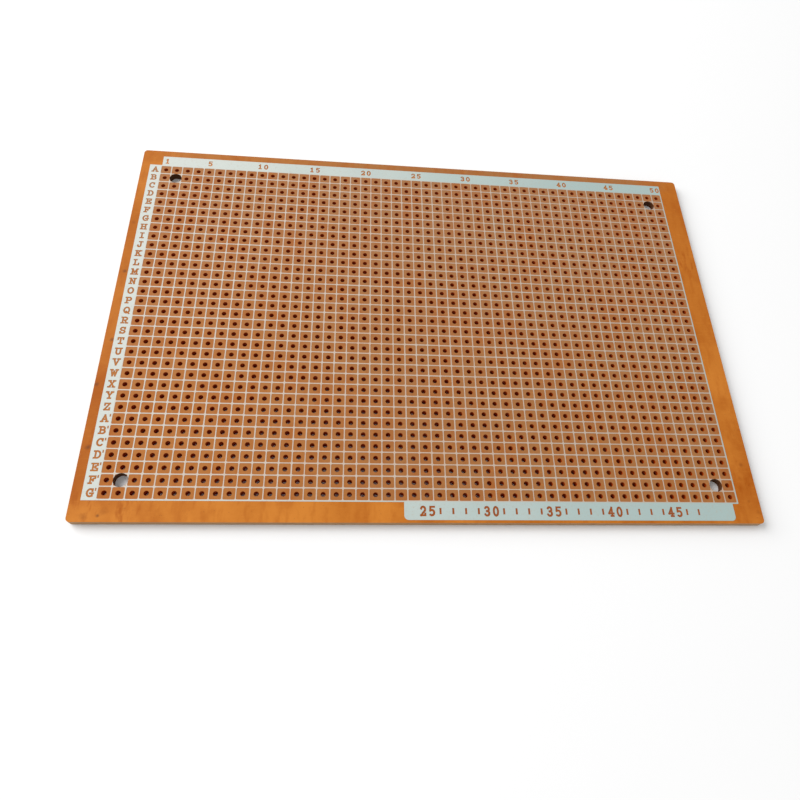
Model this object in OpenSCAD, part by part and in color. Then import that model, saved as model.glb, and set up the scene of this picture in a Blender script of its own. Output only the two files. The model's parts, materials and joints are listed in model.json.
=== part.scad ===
// Single-sided prototype board: a phenolic-paper laminate drilled on a square
// grid, with a printed cell grid, row-letter band, column-number band and footer
// band on top. Underneath, a ring of copper foil surrounds each lead hole; the
// four outermost are modelled here, because they are what the board stands on,
// and the laminate lies one foil thickness above the surface.
// Row 1 is the edge towards +Y and column 1 the edge towards -X. The origin is
// the centre of the underside, at the level of the pads' lower faces.

/* [Lead holes] */
// Number of hole columns along X
columns = 50; // [30:1:60]
// Number of hole rows along Y
rows = 33; // [20:1:40]
// Distance from one lead hole to the next, both ways
pitch = 2.54; // [2.5:0.01:2.6]
// Diameter of a lead hole
lead_d = 1.0; // [0.8:0.1:1.2]

/* [Board] */
// Thickness of the laminate
board_t = 1.6; // [0.8:0.1:2.4]
// Laminate left of the grid's first column line
left_margin = 4.6; // [4:0.1:10]
// Laminate right of the grid's last column line
right_margin = 4.9; // [3:0.1:10]
// Laminate above the grid's first row line
top_margin = 4.8; // [4:0.1:10]
// Laminate below the grid's last row line
bottom_margin = 4.3; // [4:0.1:10]
// Radius of the board's corners
corner_r = 0.8; // [0.4:0.1:2]

/* [Corner holes] */
// Diameter of a mounting hole
mount_d = 2.8; // [2.2:0.1:3]
// Count of grid places from each edge of the grid to a mounting hole
mount_count = 2; // [2:1:4]

/* [Copper pads] */
// Diameter of a pad
pad_d = 2.0; // [1.6:0.1:2.2]
// Thickness of the copper foil
copper_t = 0.035; // [0.035:0.005:0.07]

/* [Legend] */
// Thickness of the printed ink
ink_t = 0.03; // [0.03:0.005:0.05]
// Width of a cell line
line_w = 0.35; // [0.25:0.05:0.5]
// Reach of the row-letter band left of the first column line
letter_band = 2.65; // [2:0.05:3.5]
// Reach of the column-number band above the first row line
number_band = 3.0; // [2:0.1:3.5]
// Distance from the first column line to the footer band's left end
footer_start = 57.65; // [40:0.05:60]
// Distance from the footer band's right end to the last column line
footer_inset = 1.15; // [0.5:0.05:5]
// Reach of the footer band below the last row line
footer_band = 3.75; // [2:0.05:3.9]
// Radius of the footer band's lower corners
footer_r = 0.9; // [0.3:0.1:1.5]

/* [Hidden] */
$fn = 24;

board_w = left_margin + columns * pitch + right_margin;
board_d = top_margin + rows * pitch + bottom_margin;
board_top = copper_t + board_t;

// Column line i, from 0 left of column 1, and row line j, from 0 above row 1
function line_x(i) = left_margin - board_w / 2 + i * pitch;
function line_y(j) = board_d / 2 - top_margin - j * pitch;
// Centre of column c and of row r, both counted from 1
function hole_x(c) = line_x(c - 0.5);
function hole_y(r) = line_y(r - 0.5);

mount_columns = [mount_count, columns + 1 - mount_count];
mount_rows = [mount_count, rows + 1 - mount_count];
function is_mount(c, r) = len(search(c, mount_columns)) > 0 && len(search(r, mount_rows)) > 0;

// Ink starts at the right edge of the first column line and ends at the
// right edge of the last one; the lowest edge is that of the last row line.
ink_left = line_x(0) + line_w / 2;
ink_right = line_x(columns) + line_w / 2;
ink_top = line_y(0) + line_w / 2;
ink_bottom = line_y(rows) - line_w / 2;

// The four places of the mounting holes
module at_mounts() {
    for (c = mount_columns, r = mount_rows)
        translate([hole_x(c), hole_y(r)])
            children();
}

// An upright rectangle between two opposite corners
module box2d(x0, y0, x1, y1) {
    translate([x0, y0])
        square([x1 - x0, y1 - y0]);
}

module board_outline() {
    square([board_w - 2 * corner_r, board_d], center = true);
    square([board_w, board_d - 2 * corner_r], center = true);
    for (sx = [-1, 1], sy = [-1, 1])
        translate([sx * (board_w / 2 - corner_r), sy * (board_d / 2 - corner_r)])
            circle(r = corner_r);
}

// The sheet, with a lead hole at every place but the four mounting holes'
module laminate() {
    color("peru")
        translate([0, 0, copper_t])
            linear_extrude(board_t)
                difference() {
                    board_outline();
                    for (c = [1:columns], r = [1:rows])
                        if (!is_mount(c, r))
                            translate([hole_x(c), hole_y(r)])
                                circle(d = lead_d);
                    at_mounts()
                        circle(d = mount_d);
                }
}

// A ring of foil round the lead hole at each end of the first and last rows
module corner_pads() {
    color("darkgoldenrod")
        for (c = [1, columns], r = [1, rows])
            translate([hole_x(c), hole_y(r)])
                linear_extrude(copper_t)
                    difference() {
                        circle(d = pad_d);
                        circle(d = lead_d);
                    }
}

module footer_outline() {
    x0 = line_x(0) + footer_start;
    x1 = line_x(columns) - footer_inset;
    y0 = line_y(rows) - footer_band;
    box2d(x0, y0 + footer_r, x1, ink_bottom);
    box2d(x0 + footer_r, y0, x1 - footer_r, y0 + footer_r);
    for (x = [x0 + footer_r, x1 - footer_r])
        translate([x, y0 + footer_r])
            circle(r = footer_r);
}

// Printed bands: the row letters', the column numbers' and the footer, held
// together by the grid's first and last row lines
module legend() {
    color("lightcyan")
        translate([0, 0, board_top])
            linear_extrude(ink_t)
                union() {
                    box2d(line_x(0) - letter_band, ink_bottom, ink_left, ink_top);
                    box2d(ink_left, line_y(0) - line_w / 2, ink_right, line_y(0) + number_band);
                    box2d(ink_left, ink_bottom, ink_right, line_y(rows) + line_w / 2);
                    footer_outline();
                }
}

// Row lines between the rows, drilled through at the mounting holes
module legend_rows() {
    color("lightcyan")
        translate([0, 0, board_top])
            linear_extrude(ink_t)
                difference() {
                    for (j = [1:rows - 1])
                        box2d(ink_left, line_y(j) - line_w / 2, ink_right, line_y(j) + line_w / 2);
                    at_mounts()
                        circle(d = mount_d);
                }
}

// Column lines, over the row lines, and drilled through in the same way
module legend_columns() {
    color("lightcyan")
        translate([0, 0, board_top + ink_t])
            linear_extrude(ink_t)
                difference() {
                    for (i = [1:columns])
                        box2d(line_x(i) - line_w / 2, ink_bottom, line_x(i) + line_w / 2, ink_top);
                    at_mounts()
                        circle(d = mount_d);
                }
}

laminate();
corner_pads();
legend();
legend_rows();
legend_columns();
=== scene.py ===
"""A single-sided prototype board, lying flat with its printed side up."""
import json

import bpy
import numpy as np
from mathutils import Euler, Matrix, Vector


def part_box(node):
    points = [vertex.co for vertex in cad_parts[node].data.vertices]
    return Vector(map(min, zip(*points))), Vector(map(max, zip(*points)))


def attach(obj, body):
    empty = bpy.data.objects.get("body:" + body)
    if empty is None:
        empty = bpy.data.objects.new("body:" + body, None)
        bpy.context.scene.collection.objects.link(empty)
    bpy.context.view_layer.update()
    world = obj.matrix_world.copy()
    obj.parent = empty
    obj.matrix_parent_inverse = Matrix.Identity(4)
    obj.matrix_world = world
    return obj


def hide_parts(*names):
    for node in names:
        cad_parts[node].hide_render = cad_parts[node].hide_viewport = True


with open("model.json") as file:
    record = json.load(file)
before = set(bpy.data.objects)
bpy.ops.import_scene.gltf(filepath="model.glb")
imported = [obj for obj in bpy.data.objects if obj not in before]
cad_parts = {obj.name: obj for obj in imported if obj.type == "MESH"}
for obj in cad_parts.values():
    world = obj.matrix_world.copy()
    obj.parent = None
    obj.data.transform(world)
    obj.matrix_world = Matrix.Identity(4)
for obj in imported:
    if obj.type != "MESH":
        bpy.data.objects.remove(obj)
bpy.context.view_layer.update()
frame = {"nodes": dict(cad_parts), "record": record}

# ---------------------------------------------------------------------------
# Laminate. The real sheet is phenolic resin in paper, pressed flat, drilled on
# a tenth-of-an-inch grid and sheared to size. It stays as the frame has it,
# and gets its mottled orange brown, its stains and its sheared edges here.

MM = 0.001
PITCH = 2.54 * MM
COLUMNS, ROWS = 50, 33
MOUNT_COLUMNS, MOUNT_ROWS = (2, COLUMNS - 1), (2, ROWS - 1)

mounts = {mount["name"]: mount for mount in frame["record"]["mounts"]}
grid_centre = np.array(mounts["corner_holes"]["pos_m"][:2])
mount_radius = mounts["corner_holes"]["dims"]["hole_r_mm"] * MM
laminate_low, laminate_high = (np.array(corner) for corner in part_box("laminate"))
legend_low, legend_high = (np.array(corner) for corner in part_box("legend"))
board_top = laminate_high[2]
FOOTER_START, FOOTER_INSET = 57.65 * MM, 1.15 * MM


def line_x(i):
    """Place of column line i, counted from 0 at the left of column 1."""
    return grid_centre[0] + (i - COLUMNS / 2) * PITCH


def line_y(j):
    """Place of row line j, counted from 0 above row 1."""
    return grid_centre[1] + (ROWS / 2 - j) * PITCH


footer_left, footer_right = line_x(0) + FOOTER_START, line_x(COLUMNS) - FOOTER_INSET
footer_low = legend_low[1]


class Value:
    """A socket whose value can be used in a Python expression; each operation adds a Math node."""

    def __init__(self, finish, socket):
        self.finish, self.socket = finish, socket

    def math(self, operation, *others):
        sockets = dict(enumerate((self, *others)))
        return self.finish.node("ShaderNodeMath", {"operation": operation}, sockets)

    def __add__(self, other):
        return self.math("ADD", other)

    def __sub__(self, other):
        return self.math("SUBTRACT", other)

    def __rsub__(self, other):
        return (self * -1.0).math("ADD", other)

    def __mul__(self, other):
        return self.math("MULTIPLY", other)

    def abs(self):
        return self.math("ABSOLUTE")

    def most(self, other):
        return self.math("MAXIMUM", other)

    def rise(self, low, high):
        """A smooth step: 0 where the value is under low, 1 where it is over high."""
        settings = {"interpolation_type": "SMOOTHSTEP"}
        sockets = {"Value": self, "From Min": low, "From Max": high}
        return self.finish.node("ShaderNodeMapRange", settings, sockets)

    __radd__, __rmul__ = __add__, __mul__


class Finish:
    """A material in the making. Its patterns are laid out in millimetres of the object's own frame."""

    def __init__(self, name):
        self.material = bpy.data.materials.new(name)
        self.material.use_nodes = True
        self.tree = self.material.node_tree
        self.tree.nodes.clear()
        place = self.node("ShaderNodeTexCoord", out="Object")
        scaled = {"Vector": place, "Scale": 1 / MM}
        self.place = self.node("ShaderNodeVectorMath", {"operation": "SCALE"}, scaled)

    def node(self, kind, settings=None, sockets=None, out=0):
        """Adds a node, sets its settings, feeds its sockets by name or number, and gives one output."""
        made = self.tree.nodes.new(kind)
        for key, value in (settings or {}).items():
            setattr(made, key, value)
        inputs = {socket.name: socket for socket in reversed(made.inputs)}
        inputs.update({socket.identifier: socket for socket in made.inputs})
        inputs.update(enumerate(made.inputs))
        for key, value in (sockets or {}).items():
            if isinstance(value, Value):
                self.tree.links.new(value.socket, inputs[key])
            else:
                inputs[key].default_value = value
        return Value(self, made.outputs[out])

    def axes(self, vector):
        """The three parts of a vector."""
        parts = self.node("ShaderNodeSeparateXYZ", None, {"Vector": vector}).socket.node
        return [Value(self, socket) for socket in parts.outputs]

    def noise(self, size, stretch=(1, 1, 1), turn=0.0, detail=3.0, rough=0.55, shift=0.0):
        """Fractal noise about 0.5 whose largest features are about size millimetres across."""
        sockets = {
            "Vector": self.place,
            "Location": (shift, shift, shift),
            "Rotation": (0, 0, np.radians(turn)),
            "Scale": stretch,
        }
        vector = self.node("ShaderNodeMapping", None, sockets)
        sockets = {"Vector": vector, "Scale": 1 / size, "Detail": detail, "Roughness": rough}
        return self.node("ShaderNodeTexNoise", None, sockets)

    def mix(self, amount, first, second):
        """One colour turning into another as amount goes from 0 to 1."""
        settings = {"data_type": "RGBA"}
        sockets = {"Factor_Float": amount, "A_Color": first, "B_Color": second}
        return self.node("ShaderNodeMix", settings, sockets, 2)

    def surface(self, colour, roughness, bump, depth, coat=0.0, metallic=0.0, specular=0.5):
        """Ends the material in a Principled surface; depth is the bump's height in millimetres."""
        sockets = {"Height": bump, "Distance": depth * MM, "Strength": 1.0}
        normal = self.node("ShaderNodeBump", None, sockets)
        sockets = {
            "Base Color": colour,
            "Roughness": roughness,
            "Metallic": metallic,
            "Coat Weight": coat,
            "Coat Roughness": 0.35,
            "Specular IOR Level": specular,
            "Normal": normal,
        }
        shade = self.node("ShaderNodeBsdfPrincipled", None, sockets)
        output = self.tree.nodes.new("ShaderNodeOutputMaterial")
        self.tree.links.new(shade.socket, output.inputs["Surface"])
        return self.material


# Spots in the margins: place across, place along and radius, in millimetres from the grid's centre
STAINS = [
    (-66.8, 10.2, 0.8),
    (-66.5, -7.4, 0.8),
    (-67.7, -17.9, 0.8),
    (-66.7, -31.5, 0.9),
    (-62.6, -45.0, 0.5),
]
SMUDGES = [
    (66.5, -33.5, 1.0),
    (65.4, -36.4, 0.7),
    (66.1, -41.6, 0.7),
    (67.7, -43.9, 1.0),
    (67.9, -25.4, 0.6),
    (-65.0, -45.2, 1.6),
    (-61.6, -44.2, 1.3),
    (-67.2, 24.0, 1.0),
]
# Where the resin is paler, where it is darker, and where streaks fleck it: place and radius, in the same way
PALE_PLACES = [
    (-66.0, -45.0, 7.0),
    (-58.0, -45.5, 9.0),
    (-44.0, -45.0, 13.0),
    (-27.0, -45.0, 13.0),
    (-11.0, -45.0, 9.0),
]
DEEP_PLACES = [(-68.0, -20.0, 12.0), (-68.0, -38.0, 9.0), (67.5, -40.0, 9.0)]
FLECKED_PLACES = [
    (-64.5, -43.5, 5.0),
    (-58.0, -44.5, 3.5),
    (-67.0, -30.0, 4.0),
    (66.0, -38.0, 6.0),
    (66.5, 20.0, 6.0),
]

# Where the looks of the sheet change, in millimetres: the left end of the printed field and the fading of
# its tint along the top margin, both from the grid's centre; the depth of the top face's tints; the width
# of the sheared rim with its round corners; and the square round a mounting hole
FIELD_LEFT = -66.0
MARGIN_FADE = (54, 70)
TINT_DEPTH = (0.05, 0.3)
RIM_WIDTH = (0.8, 0.7)
MOUNT_REACH = (1.6, 1.7)

RESIN = (0.432, 0.129, 0.012, 1)
RESIN_PALE = (0.58, 0.202, 0.027, 1)
RESIN_DEEP = (0.33, 0.070, 0.001, 1)
FIELD_NEAR = (0.402, 0.144, 0.032, 1)
FIELD_FAR = (0.328, 0.136, 0.044, 1)
# Painted glare: a paler, bluer tint laid over the printed field, strongest at its top
FIELD_GLARE = (0.33, 0.160, 0.075, 1)
STAIN = (0.10, 0.035, 0.015, 1)
UNDER_FOOTER = (0.27, 0.075, 0.022, 1)
SHEARED_EDGE = (0.42, 0.25, 0.12, 1)
EDGE_LAYER = (0.20, 0.10, 0.045, 1)
# Painted shade in the holes: the lead-hole walls are a darker red than the resin, the mounting-hole walls
# nearly black
SHADED_LEAD_WALL = (0.38, 0.048, 0.001, 1)
SHADED_MOUNT_WALL = (0.085, 0.030, 0.010, 1)
SMUDGE = (0.20, 0.045, 0.004, 1)


def patches(finish, places, ragged):
    """A mask that is 1 at each listed place and fades out towards its radius, with a ragged border."""
    border = finish.noise(1.2, detail=2.0) * ragged
    mask = None
    for across, along, radius in places:
        centre = (grid_centre[0] / MM + across, grid_centre[1] / MM + along, board_top / MM)
        sockets = {0: finish.place, 1: centre}
        away = finish.node("ShaderNodeVectorMath", {"operation": "DISTANCE"}, sockets, "Value")
        spot = 1 - (away + border * radius).rise(0.25 * radius, 1.3 * radius)
        mask = spot if mask is None else mask.most(spot)
    return mask


def laminate_finish():
    """Blotches, clouds, slanting streaks and paper fibres in orange brown resin. Its top face is duller in
    the printed field and under the footer band, and over the field a painted glare, a paler, bluer tint,
    grows towards the top. The drilled walls are painted dark as painted shade, deep red in the lead holes
    and nearly black round the mounting holes, and the sheared edges are pale and layered."""
    finish = Finish("phenolic_paper")
    x, y, z = finish.axes(finish.place)
    across, along = x - grid_centre[0] / MM, y - grid_centre[1] / MM
    blotches = finish.noise(24.0, detail=2.0)
    clouds = finish.noise(5.0, stretch=(1, 0.7, 1), turn=-30, detail=4.0, shift=40)
    streaks = finish.noise(1.2, stretch=(1, 0.3, 1), turn=-38, detail=3.0, shift=70)
    fibres = finish.noise(0.9, stretch=(0.35, 1.6, 1), detail=3.0, rough=0.7, shift=90)
    specks = finish.noise(0.35, detail=1.0, shift=15)
    colour = finish.mix(blotches.rise(0.4, 0.75) * 0.7, RESIN, RESIN_PALE)
    colour = finish.mix(patches(finish, PALE_PLACES, 0.3) * 0.85, colour, RESIN_PALE)
    colour = finish.mix(patches(finish, DEEP_PLACES, 0.5) * 0.55, colour, RESIN_DEEP)
    right, top = COLUMNS / 2 * PITCH / MM, ROWS / 2 * PITCH / MM
    inside = (across - FIELD_LEFT).rise(-0.1, 0.1) * (1 - (across - right).rise(-0.1, 0.1))
    inside = inside * (1 - (along.abs() - top).rise(-0.1, 0.1))
    above = (along - top).rise(0, 2.5) * (1 - across.abs().rise(*MARGIN_FADE))
    depth = board_top / MM - z
    on_top = 1 - depth.rise(*TINT_DEPTH)
    field = finish.mix(across.rise(-62, 10), FIELD_NEAR, FIELD_FAR)
    # Painted glare over the printed field, growing towards its top
    field = finish.mix(along.rise(-45, 50) * inside * 0.6, field, FIELD_GLARE)
    colour = finish.mix(inside.most(above) * on_top, colour, field)
    footer_x, footer_y = (footer_left + footer_right) / 2 / MM, (footer_low + line_y(ROWS)) / 2 / MM
    footer_half_x = (footer_right - footer_left) / 2 / MM
    footer_half_y = (line_y(ROWS) - footer_low) / 2 / MM
    beyond_footer = ((x - footer_x).abs() - footer_half_x).most((y - footer_y).abs() - footer_half_y)
    colour = finish.mix((1 - beyond_footer.rise(-0.5, -0.35)) * on_top, colour, UNDER_FOOTER)
    colour = finish.mix(clouds.rise(0.42, 0.75) * (0.45 - inside * 0.12), colour, RESIN_DEEP)
    flecks = patches(finish, FLECKED_PLACES, 0.4)
    colour = finish.mix(streaks.rise(0.46, 0.74) * (0.3 + flecks * 0.6), colour, RESIN_DEEP)
    colour = finish.mix(fibres.rise(0.5, 0.8) * 0.3, colour, RESIN_PALE)
    colour = finish.mix(specks.rise(0.70, 0.8) * 0.3, colour, STAIN)
    colour = finish.mix(patches(finish, SMUDGES, 1.0) * 0.45, colour, SMUDGE)
    colour = finish.mix(patches(finish, STAINS, 0.8) * 0.7, colour, STAIN)
    half_x, half_y = (laminate_high[:2] - laminate_low[:2]) / 2 / MM
    rim = (x.abs() - half_x).most(y.abs() - half_y).rise(-RIM_WIDTH[0], -RIM_WIDTH[1])
    mount_x, mount_y = (COLUMNS / 2 - 1.5) * PITCH / MM, (ROWS / 2 - 1.5) * PITCH / MM
    from_mount = (across.abs() - mount_x).abs().most((along.abs() - mount_y).abs())
    at_mount = 1 - from_mount.rise(*MOUNT_REACH)
    # Painted shade: the hole walls are painted darker than the resin, darkest round the mounting holes
    hole_shade = finish.mix(at_mount, SHADED_LEAD_WALL, SHADED_MOUNT_WALL)
    thickness = (board_top - laminate_low[2]) / MM
    drilled = depth.rise(0.0, 0.14) * (1 - depth.rise(thickness - 0.05, thickness - 0.02))
    colour = finish.mix(drilled * (1 - rim), colour, hole_shade)
    layers = finish.noise(0.16, stretch=(0.1, 0.1, 1), detail=2.0, shift=7)
    edge = finish.mix(layers.rise(0.4, 0.7) * 0.5, SHEARED_EDGE, EDGE_LAYER)
    colour = finish.mix(rim * depth.rise(0.0, 0.12), colour, edge)
    roughness = 0.52 + fibres * 0.12 - blotches * 0.1
    relief = fibres * 0.6 + specks * 0.4
    return finish.surface(colour, roughness, relief, 0.02, specular=0.1)


phenolic_paper = laminate_finish()


def give(node, material):
    """Puts one material on every slot of a node from the frame."""
    for slot in frame["nodes"][node].material_slots:
        slot.material = material


give("laminate", phenolic_paper)

# ---------------------------------------------------------------------------
# Copper pads. A ring of foil surrounds each lead hole on the underside, left
# when the rest of the foil was etched away, under a thin clear lacquer.

PAD_SEGMENTS = 12
PAD_RADIUS = 1.0 * MM
LEAD_RADIUS = 0.5 * MM
COPPER_BRIGHT = (0.86, 0.42, 0.25, 1)
COPPER_BROWNED = (0.62, 0.27, 0.13, 1)


def places_of_leads():
    """Column and row numbers of every place in the grid but the four mounting holes'."""
    column, row = (n.ravel() for n in np.meshgrid(np.arange(1, COLUMNS + 1), np.arange(1, ROWS + 1)))
    mounting = np.isin(column, MOUNT_COLUMNS) & np.isin(row, MOUNT_ROWS)
    return column[~mounting], row[~mounting]


def centres(column, row):
    """Centres of the places in the given columns and rows."""
    return np.stack([line_x(column - 0.5), line_y(row - 0.5)], 1)


def new_piece(name, points, faces, material):
    """A mesh object at the origin from an array of points and an array or list of faces."""
    mesh = bpy.data.meshes.new(name)
    mesh.from_pydata(points.tolist(), [], faces if isinstance(faces, list) else faces.tolist())
    mesh.materials.append(material)
    mesh.update()
    piece = bpy.data.objects.new(name, mesh)
    bpy.context.scene.collection.objects.link(piece)
    return piece


def copper_finish():
    """Copper under lacquer, a little browner in clouds and finely brushed."""
    finish = Finish("lacquered_copper")
    clouds = finish.noise(3.0, detail=3.0)
    brushed = finish.noise(0.2, stretch=(0.1, 1, 1), detail=2.0)
    colour = finish.mix(clouds.rise(0.35, 0.7), COPPER_BRIGHT, COPPER_BROWNED)
    return finish.surface(colour, 0.28 + brushed * 0.2, brushed, 0.004, coat=0.4, metallic=1.0)


lacquered_copper = copper_finish()
give("corner_pads", lacquered_copper)


def pad_rings():
    """A square section carried round each hole: the four corners of the ring, each at its radius and its
    height, swept by angle."""
    column, row = places_of_leads()
    corner = np.isin(column, (1, COLUMNS)) & np.isin(row, (1, ROWS))
    centre = centres(column[~corner], row[~corner])
    inner = LEAD_RADIUS / np.cos(np.pi / PAD_SEGMENTS)
    foil_low, foil_high = 0.0, laminate_low[2]
    radius = np.array([inner, PAD_RADIUS, PAD_RADIUS, inner])
    height = np.array([foil_low, foil_low, foil_high, foil_high])
    angle = np.linspace(0, 2 * np.pi, PAD_SEGMENTS, endpoint=False)
    ring = np.stack(
        [
            np.outer(np.cos(angle), radius).ravel(),
            np.outer(np.sin(angle), radius).ravel(),
            np.tile(height, PAD_SEGMENTS),
        ],
        1,
    )
    shifts = np.pad(centre, ((0, 0), (0, 1)))
    points = (shifts[:, None] + ring[None]).reshape(-1, 3)
    step, side = (n.ravel() for n in np.meshgrid(np.arange(PAD_SEGMENTS), np.arange(4), indexing="ij"))
    onward, next_side = (step + 1) % PAD_SEGMENTS, (side + 1) % 4
    quad = np.stack([step * 4 + side, onward * 4 + side, onward * 4 + next_side, step * 4 + next_side], 1)
    starts = np.arange(len(centre)) * 4 * PAD_SEGMENTS
    faces = (starts[:, None, None] + quad[None]).reshape(-1, 4)
    return points, faces


copper_pads = new_piece("copper_pads", *pad_rings(), lacquered_copper)
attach(copper_pads, "root")

# ---------------------------------------------------------------------------
# Printed legend. One coat of pale mint ink, pushed through a screen: a lattice
# of cell lines, a band with the row letters, one with the column numbers, and
# a footer band. The lettering is left open, so the laminate shows through it.

lines_low, lines_high = (np.array(corner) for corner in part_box("legend_columns"))
INK_TOP = legend_high[2]
INK = INK_TOP - board_top
HALF_LINE = lines_high[0] - line_x(COLUMNS)
COLUMN_LINE = 0.21 * MM
ROW_LINE = 0.24 * MM
CELL_CORNER = 0.22 * MM
OPENING_SPREAD, PLACE_SPREAD = 0.008, 0.010 * MM

# Painted light: the ink is painted brighter at the left, towards the lamp, and darker to the right
INK_LIT_LEFT = (0.565, 0.595, 0.555, 1)
INK_SHADED_RIGHT = (0.345, 0.442, 0.425, 1)
INK_THIN = (0.42, 0.30, 0.20, 1)
LINE_TINT = (0.60, 0.20, 0.03, 1)


def ink_finish():
    """Pale ink, painted brighter at the left by the letter band and darker to the right as painted light
    from the lamp on the left, with thin places where the laminate shows through.
    """
    finish = Finish("screen_ink")
    x, y, _ = finish.axes(finish.place)
    across, along = x - grid_centre[0] / MM, y - grid_centre[1] / MM
    cloud = finish.noise(11.0, detail=2.0, shift=30)
    thin = finish.noise(0.5, detail=3.0, rough=0.7)
    pores = finish.noise(0.14, detail=1.0, shift=60)
    # Painted light: the ink's colour runs from brighter at the left to darker at the right, in irregular
    # clouds
    painted_light_drift = (across + cloud * 30).rise(-62, 72)
    colour = finish.mix(painted_light_drift, INK_LIT_LEFT, INK_SHADED_RIGHT)
    beyond_x = (across.abs() - COLUMNS / 2 * PITCH / MM).rise(-0.1, 0.1)
    beyond_y = (along.abs() - ROWS / 2 * PITCH / MM).rise(-0.1, 0.1)
    lines = (1 - beyond_x) * (1 - beyond_y)
    tint = 0.2 + across.rise(-62, -10) * 0.18 + (cloud - 0.5) * 0.3
    colour = finish.mix(lines * tint, colour, LINE_TINT)
    colour = finish.mix(thin.rise(0.5, 0.85) * 0.4, colour, INK_THIN)
    colour = finish.mix(pores.rise(0.66, 0.78) * 0.3, colour, FIELD_NEAR)
    return finish.surface(colour, 0.55 + thin * 0.15, pores + thin, 0.006, specular=0.2)


screen_ink = ink_finish()


def cell_sheet():
    """The lattice as one flat sheet.

    Each cell is a strip between two loops of twelve points. The inner loop is the opening, a square
    with round corners, moved and grown a little from cell to cell as a screen prints it. The outer
    loop runs on the line centres that the cell shares with its neighbours.
    """
    draw = np.random.default_rng(5)
    column, row = (n.ravel() for n in np.meshgrid(np.arange(1, COLUMNS + 1), np.arange(1, ROWS + 1)))
    centre = centres(column, row)
    count = len(centre)
    quarter = np.array([(1, 0), (1, 1), (0, 1)])
    signs = np.array([(1, 1), (-1, 1), (-1, -1), (1, -1)])
    half = (PITCH - np.array([COLUMN_LINE, ROW_LINE])) / 2
    flat = half - CELL_CORNER
    turn = np.array([(1.0, 0.0), (np.sqrt(0.5), np.sqrt(0.5)), (0.0, 1.0)])
    inner, outer = [], []
    for k, sign in enumerate(signs):
        order = slice(None) if k % 2 == 0 else slice(None, None, -1)
        inner.append((sign * (flat + CELL_CORNER * turn))[order])
        edge = np.where(quarter == 1, PITCH / 2, flat)
        outer.append((sign * edge)[order])
    inner, outer = np.concatenate(inner), np.concatenate(outer)
    grow = 1 + draw.normal(0, OPENING_SPREAD, (count, 1, 2))
    inner = centre[:, None] + inner[None] * grow + draw.normal(0, PLACE_SPREAD, (count, 1, 2))
    outer = centre[:, None] + np.repeat(outer[None], count, 0)
    low = np.array([line_x(0), line_y(ROWS)])
    high = np.array([line_x(COLUMNS), line_y(0)])
    outer = np.where(outer < low + 1e-7, low - HALF_LINE, outer)
    outer = np.where(outer > high - 1e-7, high + HALF_LINE, outer)
    loops = np.concatenate([outer, inner], 1)
    points = np.pad(loops.reshape(-1, 2), ((0, 0), (0, 1)), constant_values=INK_TOP)
    step = np.arange(12)
    onward = (step + 1) % 12
    quad = np.stack([step, onward, onward + 12, step + 12], 1)
    faces = (np.arange(count)[:, None, None] * 24 + quad[None]).reshape(-1, 4)
    return points, faces


def settled(piece):
    """Applies a piece's modifiers to its mesh."""
    bpy.context.view_layer.update()
    ready = piece.evaluated_get(bpy.context.evaluated_depsgraph_get())
    mesh = bpy.data.meshes.new_from_object(ready)
    piece.modifiers.clear()
    old, piece.data = piece.data, mesh
    bpy.data.meshes.remove(old)


def cut_out(piece, points, faces):
    """Cuts a shape out of a piece."""
    mesh = bpy.data.meshes.new("cutter")
    mesh.from_pydata(points.tolist(), [], faces if isinstance(faces, list) else faces.tolist())
    cutter = bpy.data.objects.new("cutter", mesh)
    bpy.context.scene.collection.objects.link(cutter)
    cut = piece.modifiers.new("cut", "BOOLEAN")
    cut.operation, cut.solver, cut.use_self, cut.object = "DIFFERENCE", "EXACT", True, cutter
    settled(piece)
    bpy.data.objects.remove(cutter)


def stem(x, foot=0.16, head=0.16):
    """An upright with a slab across its foot and its head."""
    return [[(x, 0), (x, 1)], [(x - foot, 0), (x + foot, 0)], [(x - head, 1), (x + head, 1)]]


def arc(x, y, rx, ry, start, stop, steps=8):
    """Part of an ellipse, from one angle to another in degrees, as a chain of points."""
    angle = np.radians(np.linspace(start, stop, steps + 1))
    return list(zip(x + rx * np.cos(angle), y + ry * np.sin(angle)))


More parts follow.
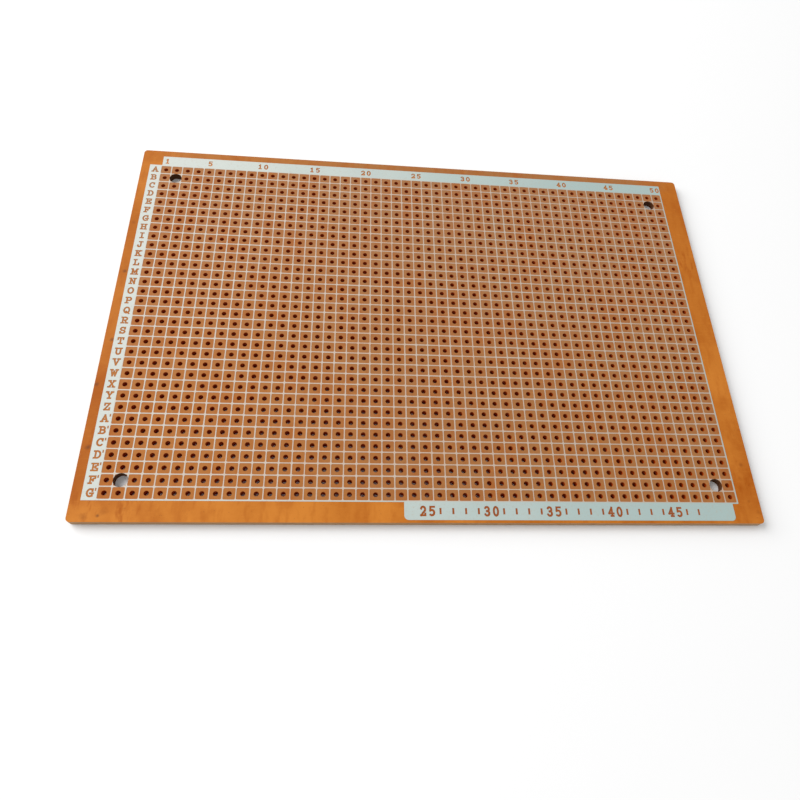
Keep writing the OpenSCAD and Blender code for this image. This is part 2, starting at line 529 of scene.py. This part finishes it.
# Each character as chains of points in a box one unit high
BOWL_P = [[(0.02, 1), (0.55, 1)], arc(0.55, 0.74, 0.32, 0.26, 90, -90), [(0.55, 0.48), (0.2, 0.48)]]
RING = [arc(0.5, 0.5, 0.42, 0.5, 0, 360, 16)]
HOOK_C = [arc(0.54, 0.5, 0.44, 0.5, 48, 312, 12), [(0.86, 0.72), (0.86, 1.0)]]
STEM_BD = [(0.22, 0), (0.22, 1)]
STROKE_EF = [[(0.22, 0.5), (0.62, 0.5)], [(0.62, 0.36), (0.62, 0.64)]]
LETTERS = {
    "A": [
        [(0.1, 0), (0.5, 1), (0.9, 0)],
        [(0.25, 0.33), (0.75, 0.33)],
        [(-0.04, 0), (0.26, 0)],
        [(0.74, 0), (1.04, 0)],
    ],
    "B": [
        STEM_BD,
        [(0.02, 1), (0.55, 1)],
        arc(0.55, 0.76, 0.27, 0.24, 90, -90),
        [(0.55, 0.52), (0.22, 0.52)],
        arc(0.55, 0.26, 0.35, 0.26, 90, -90),
        [(0.55, 0), (0.02, 0)],
    ],
    "C": HOOK_C,
    "D": [
        STEM_BD,
        [(0.02, 1), (0.45, 1)],
        arc(0.45, 0.5, 0.46, 0.5, 90, -90, 10),
        [(0.45, 0), (0.02, 0)],
    ],
    "E": [
        STEM_BD,
        [(0.02, 1), (0.88, 1), (0.88, 0.74)],
        *STROKE_EF,
        [(0.02, 0), (0.9, 0), (0.9, 0.26)],
    ],
    "F": [*stem(0.22, 0.2, 0.2), [(0.22, 1), (0.88, 1), (0.88, 0.72)], *STROKE_EF],
    "G": [*HOOK_C, [(0.56, 0.42), (1.0, 0.42)], [(0.87, 0.42), (0.87, 0.06)]],
    "H": [*stem(0.18), *stem(0.82), [(0.18, 0.5), (0.82, 0.5)]],
    "I": stem(0.5, 0.26, 0.26),
    "J": [[(0.62, 1), (0.62, 0.25)], [(0.36, 1), (0.88, 1)], arc(0.38, 0.25, 0.24, 0.25, 0, -190)],
    "K": [
        *stem(0.2),
        [(0.2, 0.38), (0.82, 1)],
        [(0.44, 0.6), (0.86, 0)],
        [(0.66, 1), (0.98, 1)],
        [(0.7, 0), (1.02, 0)],
    ],
    "L": [*stem(0.28, 0.2, 0.2), [(0.28, 0), (0.9, 0), (0.9, 0.3)]],
    "M": [
        [(0.14, 0), (0.14, 1), (0.5, 0.3), (0.86, 1), (0.86, 0)],
        [(-0.04, 0), (0.32, 0)],
        [(0.68, 0), (1.04, 0)],
        [(-0.04, 1), (0.14, 1)],
        [(0.86, 1), (1.04, 1)],
    ],
    "N": [
        [(0.18, 0), (0.18, 1), (0.82, 0), (0.82, 1)],
        [(0.0, 0), (0.36, 0)],
        [(0.0, 1), (0.18, 1)],
        [(0.64, 1), (1.0, 1)],
    ],
    "O": RING,
    "P": [*stem(0.2, 0.2, 0.1), *BOWL_P],
    "Q": [*RING, [(0.45, 0.25), (0.92, -0.1)]],
    "R": [*stem(0.2, 0.2, 0.1), *BOWL_P, [(0.52, 0.48), (0.84, 0)], [(0.74, 0), (1.02, 0)]],
    "S": [
        arc(0.5, 0.75, 0.34, 0.25, 15, 270),
        arc(0.5, 0.25, 0.36, 0.25, 90, -165),
        [(0.84, 0.76), (0.84, 1)],
        [(0.14, 0.22), (0.14, 0)],
    ],
    "T": [*stem(0.5, 0.24, 0.1), [(0.08, 0.72), (0.08, 1), (0.92, 1), (0.92, 0.72)]],
    "U": [
        [(0.18, 1), (0.18, 0.35)],
        arc(0.5, 0.35, 0.32, 0.35, 180, 360),
        [(0.82, 0.35), (0.82, 1)],
        [(0.0, 1), (0.36, 1)],
        [(0.64, 1), (1.0, 1)],
    ],
    "V": [[(0.12, 1), (0.5, 0), (0.88, 1)], [(-0.04, 1), (0.3, 1)], [(0.7, 1), (1.04, 1)]],
    "W": [
        [(0.06, 1), (0.28, 0), (0.5, 0.78), (0.72, 0), (0.94, 1)],
        [(-0.08, 1), (0.22, 1)],
        [(0.78, 1), (1.08, 1)],
    ],
    "X": [
        [(0.14, 0), (0.86, 1)],
        [(0.14, 1), (0.86, 0)],
        [(0.0, 0), (0.3, 0)],
        [(0.7, 0), (1.0, 0)],
        [(0.0, 1), (0.3, 1)],
        [(0.7, 1), (1.0, 1)],
    ],
    "Y": [
        [(0.12, 1), (0.5, 0.48), (0.88, 1)],
        [(0.5, 0.48), (0.5, 0)],
        [(0.3, 0), (0.7, 0)],
        [(-0.02, 1), (0.28, 1)],
        [(0.72, 1), (1.02, 1)],
    ],
    "Z": [[(0.12, 0.74), (0.12, 1), (0.86, 1), (0.12, 0), (0.88, 0), (0.88, 0.26)]],
    "'": [[(0.0, 1.06), (0.0, 0.9)]],
    "0": [arc(0.5, 0.5, 0.36, 0.5, 0, 360, 16)],
    "1": [[(0.24, 0.82), (0.5, 1), (0.5, 0)], [(0.24, 0), (0.76, 0)]],
    "2": [arc(0.5, 0.7, 0.34, 0.3, 165, -30, 8), [(0.79, 0.55), (0.14, 0), (0.86, 0), (0.86, 0.2)]],
    "3": [arc(0.48, 0.75, 0.32, 0.25, 150, -90), arc(0.48, 0.26, 0.36, 0.26, 90, -155)],
    "4": [[(0.66, 0), (0.66, 1), (0.1, 0.3), (0.92, 0.3)], [(0.46, 0), (0.86, 0)]],
    "5": [[(0.84, 1), (0.22, 1), (0.18, 0.56)], arc(0.44, 0.31, 0.4, 0.31, 128, -128)],
}


def stroke_boxes(chains, width):
    """Each link of each chain as an upright box: its two ends moved out by half the width along it, and
    half the width to either side across it, from below the ink to above it."""
    ends = np.concatenate([np.stack([chain[:-1], chain[1:]], 1) for chain in map(np.array, chains)])
    along = ends[:, 1] - ends[:, 0]
    along /= np.linalg.norm(along, axis=1, keepdims=True)
    across = np.stack([-along[:, 1], along[:, 0]], 1)
    half = width / 2
    ring = np.stack(
        [
            ends[:, 0] - (along + across) * half,
            ends[:, 1] + (along - across) * half,
            ends[:, 1] + (along + across) * half,
            ends[:, 0] - (along - across) * half,
        ],
        1,
    )
    low = np.pad(ring, ((0, 0), (0, 0), (0, 1)), constant_values=board_top - INK)
    high = np.pad(ring, ((0, 0), (0, 0), (0, 1)), constant_values=INK_TOP + INK)
    points = np.concatenate([low, high], 1).reshape(-1, 3)
    box = np.array([(3, 2, 1, 0), (4, 5, 6, 7), (0, 1, 5, 4), (1, 2, 6, 5), (2, 3, 7, 6), (3, 0, 4, 7)])
    faces = (np.arange(len(ends))[:, None, None] * 8 + box[None]).reshape(-1, 4)
    return points, faces


def word(text, x, y, height, width, gap):
    """The chains of a word whose middle is at x, y."""
    advance = width + gap
    start = x - (len(text) * advance - gap) / 2
    chains = []
    for k, letter in enumerate(text):
        origin = np.array([start + k * advance, y - height / 2])
        chains += [origin + np.array(chain) * (width, height) for chain in LETTERS[letter]]
    return chains


def slab(outline):
    """A flat plate of ink with the given outline, its points in order against the clock."""
    count = len(outline)
    low = np.pad(outline, ((0, 0), (0, 1)), constant_values=board_top)
    high = np.pad(outline, ((0, 0), (0, 1)), constant_values=INK_TOP)
    ring = list(range(count))
    sides = [(k, (k + 1) % count, (k + 1) % count + count, k + count) for k in ring]
    return np.concatenate([low, high]), [ring[::-1], [k + count for k in ring], *sides]


def band(name, outline, chains, stroke):
    """A plate of ink with lettering cut out of it."""
    points, faces = slab(np.array(outline))
    plate = new_piece(name, points, faces, screen_ink)
    cut_out(plate, *stroke_boxes(chains, stroke))
    return plate


def rectangle(x0, y0, x1, y1):
    """Corners in order against the clock."""
    return [(x0, y0), (x1, y0), (x1, y1), (x0, y1)]


def row_names():
    """A to Z, and then A to G with a mark."""
    alphabet = "ABCDEFGHIJKLMNOPQRSTUVWXYZ"
    return [alphabet[r % len(alphabet)] + "'" * (r // len(alphabet)) for r in range(ROWS)]


LETTER_HEIGHT, LETTER_WIDTH, LETTER_STROKE = 1.38 * MM, 1.24 * MM, 0.35 * MM
LETTER_SHIFT, MARK_GAP = 0.08 * MM, 0.36 * MM
letter_x = (legend_low[0] + line_x(0)) / 2 + LETTER_SHIFT
letter_chains = []
for r, name in enumerate(row_names()):
    y = line_y(r + 0.5)
    letter_chains += word(name[0], letter_x, y, LETTER_HEIGHT, LETTER_WIDTH, 0)
    if len(name) > 1:
        foot = (letter_x + LETTER_WIDTH / 2 + MARK_GAP, y - LETTER_HEIGHT / 2)
        letter_chains += [np.array(chain) * LETTER_HEIGHT + foot for chain in LETTERS["'"]]
letter_band = band(
    "letter_band",
    rectangle(legend_low[0], line_y(ROWS) - HALF_LINE, line_x(0) - HALF_LINE, line_y(0) + HALF_LINE),
    letter_chains,
    LETTER_STROKE,
)

NUMBER_HEIGHT, NUMBER_WIDTH, NUMBER_GAP, NUMBER_STROKE = 1.26 * MM, 0.96 * MM, 0.48 * MM, 0.31 * MM
NUMBERED = 5
number_y = (line_y(0) + legend_high[1]) / 2
number_chains = []
for c in [1, *range(NUMBERED, COLUMNS + 1, NUMBERED)]:
    number_chains += word(str(c), line_x(c - 0.5), number_y, NUMBER_HEIGHT, NUMBER_WIDTH, NUMBER_GAP)
number_band = band(
    "number_band",
    rectangle(line_x(0) + HALF_LINE, line_y(0) + HALF_LINE, line_x(COLUMNS) + HALF_LINE, legend_high[1]),
    number_chains,
    NUMBER_STROKE,
)

# The footer band repeats the numbers of the columns above it, larger, with a tick for each column between
FOOTER_CORNER, FIRST_NUMBER, LAST_TICK = 0.9 * MM, 25, 47
FOOTER_HEIGHT, FOOTER_WIDTH, FOOTER_GAP, FOOTER_STROKE = 1.7 * MM, 1.15 * MM, 0.62 * MM, 0.4 * MM
footer_high = line_y(ROWS) - HALF_LINE
footer_y = (footer_low + footer_high) / 2
footer_chains = []
for c in range(FIRST_NUMBER, LAST_TICK + 1):
    x = line_x(c - 0.5)
    if c % NUMBERED == 0:
        footer_chains += word(str(c), x, footer_y, FOOTER_HEIGHT, FOOTER_WIDTH, FOOTER_GAP)
    else:
        tick = FOOTER_HEIGHT / 4
        footer_chains.append([(x, footer_y - tick), (x, footer_y + tick)])
corner = FOOTER_CORNER
footer_outline = [
    *arc(footer_left + corner, footer_low + corner, corner, corner, 180, 270, 6),
    *arc(footer_right - corner, footer_low + corner, corner, corner, 270, 360, 6),
    (footer_right, footer_high),
    (footer_left, footer_high),
]
footer_band = band("footer_band", footer_outline, footer_chains, FOOTER_STROKE)


def drills(count=48):
    """Round bars through the four mounting holes: each ring is a radius swept by angle."""
    angle = np.linspace(0, 2 * np.pi, count, endpoint=False)
    ring = mount_radius * np.stack([np.cos(angle), np.sin(angle)], 1)
    points, faces = [], []
    for c in MOUNT_COLUMNS:
        for r in MOUNT_ROWS:
            start = len(points) * 2 * count
            around = ring + centres(np.array([c]), np.array([r]))
            low = np.pad(around, ((0, 0), (0, 1)), constant_values=board_top - INK)
            high = np.pad(around, ((0, 0), (0, 1)), constant_values=INK_TOP + INK)
            points.append(np.concatenate([low, high]))
            step = np.arange(count)
            onward = (step + 1) % count
            sides = start + np.stack([step, onward, onward + count, step + count], 1)
            faces += [(start + step[::-1]).tolist(), (start + count + step).tolist(), *sides.tolist()]
    return np.concatenate(points), faces


cell_lattice = new_piece("printed_legend", *cell_sheet(), screen_ink)
weld = cell_lattice.modifiers.new("weld", "WELD")
weld.merge_threshold = 1e-6
plate = cell_lattice.modifiers.new("thickness", "SOLIDIFY")
plate.thickness, plate.offset = INK, -1
settled(cell_lattice)
cut_out(cell_lattice, *drills())


def joined(first, *others):
    """One object from several, with their points and faces put together."""
    bpy.ops.object.select_all(action="DESELECT")
    for piece in (first, *others):
        piece.select_set(True)
    bpy.context.view_layer.objects.active = first
    bpy.ops.object.join()
    return first


printed_legend = joined(cell_lattice, letter_band, number_band, footer_band)
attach(printed_legend, "root")
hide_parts("legend", "legend_rows", "legend_columns")

# ---------------------------------------------------------------------------
# Studio. A plain white floor and soft light from the upper left, with the
# camera above the board's lower edge.

FLOOR_HALF = 3.0
FLOOR_DIM, FLOOR_LIGHT = (0.85, 0.85, 0.85, 1), (0.87, 0.87, 0.87, 1)
BACKDROP_STRENGTH = 0.62
floor_finish = Finish("studio_floor")
floor_tone = floor_finish.noise(400.0, detail=1.0)
floor_colour = floor_finish.mix(floor_tone, FLOOR_DIM, FLOOR_LIGHT)
floor_finish.surface(floor_colour, 0.8, floor_tone, 0.001, specular=0.1)
corners = [(sx * FLOOR_HALF, sy * FLOOR_HALF, 0.0) for sx, sy in ((-1, -1), (1, -1), (1, 1), (-1, 1))]
floor = new_piece("floor", np.array(corners), [(0, 1, 2, 3)], floor_finish.material)

world = bpy.data.worlds.new("studio")
bpy.context.scene.world = world
world.use_nodes = True
backdrop = world.node_tree.nodes["Background"]
backdrop.inputs["Color"].default_value = (1, 1, 1, 1)
backdrop.inputs["Strength"].default_value = BACKDROP_STRENGTH


def soft_light(name, place, width, power):
    """A square lamp that faces the board's centre."""
    lamp = bpy.data.lights.new(name, "AREA")
    lamp.size, lamp.energy = width, power
    lamp_object = bpy.data.objects.new(name, lamp)
    lamp_object.location = place
    lamp_object.rotation_euler = (-Vector(place)).to_track_quat("-Z", "Y").to_euler()
    bpy.context.scene.collection.objects.link(lamp_object)


soft_light("window", (-0.95, 0.45, 0.68), 1.1, 21.0)

# The camera's place from the grid's centre in millimetres, and its turn in degrees
CAMERA_PLACE = (-17.31, -78.52, 120.72)
CAMERA_TURN = (25.93, -6.07, -1.51)
CAMERA_LENS = 28.77
CAMERA_SHIFT = (-0.02, 0.0)

camera_data = bpy.data.cameras.new("camera")
camera_data.lens, camera_data.sensor_width = CAMERA_LENS, 36.0
camera_data.shift_x, camera_data.shift_y = CAMERA_SHIFT
camera_data.clip_start = 0.01
camera = bpy.data.objects.new("camera", camera_data)
camera.location = Vector((*grid_centre, board_top)) + Vector(CAMERA_PLACE) * MM
camera.rotation_euler = Euler(np.radians(CAMERA_TURN))
bpy.context.scene.collection.objects.link(camera)
bpy.context.scene.camera = camera
bpy.context.scene.view_settings.view_transform = "Standard"
